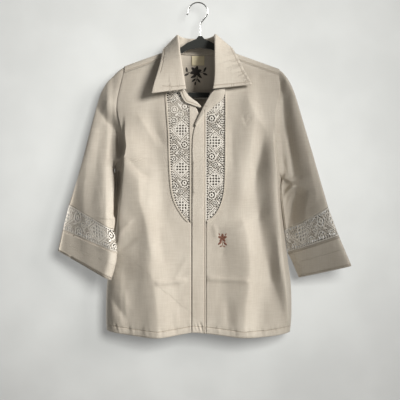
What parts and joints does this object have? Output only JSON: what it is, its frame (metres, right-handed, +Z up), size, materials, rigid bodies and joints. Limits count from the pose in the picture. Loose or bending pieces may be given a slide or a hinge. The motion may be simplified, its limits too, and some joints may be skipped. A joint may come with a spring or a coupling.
{
  "type": "hawaiian shirt",
  "caption": "Cream aloha shirt with open pointed collar, hidden-button front, lace insets and lace sleeve bands, hanging on a flocked hanger.",
  "frame": {"origin": "top of the hook's inside, where a rod or a wall hook holds the hanger", "axes": "+Z up along the hook's pull, -Y the way the shirt's front faces, +X towards the wearer's left"},
  "size_m": [0.7637, 0.1254, 0.883],
  "materials": {
    "cream_twill": "smooth cream twill with a soft sheen",
    "silver_white_lace": "silvery white lace with eyelets",
    "label_tape": "pale woven tape, blank",
    "grey_flock": "dark grey short flock, matt",
    "bright_wire": "bright plated wire"
  },
  "bodies": {
    "root": {"hanger_frame": "grey_flock", "hanger_hook": "bright_wire", "back_panel": "cream_twill", "back_yoke": "cream_twill", "front_right": "cream_twill", "front_left": "cream_twill", "lace_inset_right": "silver_white_lace", "lace_inset_left": "silver_white_lace", "inset_trim_right": "cream_twill", "inset_trim_left": "cream_twill", "button_band": "cream_twill", "fly_placket": "cream_twill", "facing_right": "cream_twill", "facing_left": "cream_twill", "collar": "cream_twill", "neck_label": "label_tape", "sleeve_right": "cream_twill", "sleeve_left": "cream_twill", "sleeve_lace_right": "silver_white_lace", "sleeve_lace_left": "silver_white_lace", "cuff_right": "cream_twill", "cuff_left": "cream_twill"}
  },
  "joints": []
}
